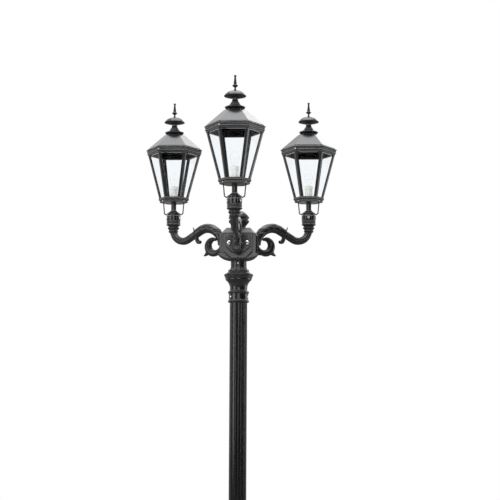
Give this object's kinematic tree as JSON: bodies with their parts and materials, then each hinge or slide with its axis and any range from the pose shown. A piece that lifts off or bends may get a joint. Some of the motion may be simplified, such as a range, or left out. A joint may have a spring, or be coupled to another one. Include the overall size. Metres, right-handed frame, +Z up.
{
  "type": "three-light garden lamp post",
  "caption": "Fluted garden lamp post with scroll arms round a hub, carrying six-sided glazed lanterns whose hinged roofs lift for a new bulb.",
  "frame": {"origin": "post axis at the underside of the foot flange", "axes": "+Z up along the post, -Y along the front arm, +X to the right seen from the front"},
  "size_m": [1.3488, 1.1851, 3.5173],
  "materials": {
    "black_paint": "satin black paint on cast aluminium",
    "bright_steel": "bright stainless steel",
    "pane_glass": "clear",
    "bulb_glass": "clear",
    "porcelain": "glazed porcelain, cream white",
    "floor_plate": "dull sheet aluminium"
  },
  "bodies": {
    "post": {"arm_bolts": "bright_steel", "capital_bolts": "bright_steel", "fluted_shaft": "black_paint", "frame_screws": "bright_steel", "front_arm": "black_paint", "front_base_ring": "black_paint", "front_bulb": "bulb_glass", "front_corner_posts": "black_paint", "front_eave_ring": "black_paint", "front_floor": "floor_plate", "front_glass_panes": "pane_glass", "front_hinge_pin": "bright_steel", "front_holder": "black_paint", "front_lamp_holder": "porcelain", "front_side_rods": "black_paint", "front_stem": "black_paint", "holder_screws": "bright_steel", "hub_body": "black_paint", "hub_dish": "black_paint", "hub_finial": "black_paint", "left_arm": "black_paint", "left_base_ring": "black_paint", "left_bulb": "bulb_glass", "left_corner_posts": "black_paint", "left_eave_ring": "black_paint", "left_floor": "floor_plate", "left_glass_panes": "pane_glass", "left_hinge_pin": "bright_steel", "left_holder": "black_paint", "left_lamp_holder": "porcelain", "left_side_rods": "black_paint", "left_stem": "black_paint", "post_base": "black_paint", "right_arm": "black_paint", "right_base_ring": "black_paint", "right_bulb": "bulb_glass", "right_corner_posts": "black_paint", "right_eave_ring": "black_paint", "right_floor": "floor_plate", "right_glass_panes": "pane_glass", "right_hinge_pin": "bright_steel", "right_holder": "black_paint", "right_lamp_holder": "porcelain", "right_side_rods": "black_paint", "right_stem": "black_paint", "shaft_capital": "black_paint"},
    "left_lid": {"left_roof": "black_paint", "left_cowl": "black_paint", "left_cap": "black_paint", "left_finial": "black_paint"},
    "right_lid": {"right_roof": "black_paint", "right_cowl": "black_paint", "right_cap": "black_paint", "right_finial": "black_paint"},
    "front_lid": {"front_roof": "black_paint", "front_cowl": "black_paint", "front_cap": "black_paint", "front_finial": "black_paint"}
  },
  "joints": [
    {"name": "left_roof_hinge", "type": "hinge", "parent": "post", "child": "left_lid", "pos_m": [-0.47545, 0.45684, 3.1899], "axis": [-1, 0, 0], "range_deg": [0, 100]},
    {"name": "right_roof_hinge", "type": "hinge", "parent": "post", "child": "right_lid", "pos_m": [0.47545, 0.45684, 3.1899], "axis": [-1, 0, 0], "range_deg": [0, 100]},
    {"name": "front_roof_hinge", "type": "hinge", "parent": "post", "child": "front_lid", "pos_m": [0, -0.36666, 3.1899], "axis": [-1, 0, 0], "range_deg": [0, 100]}
  ]
}
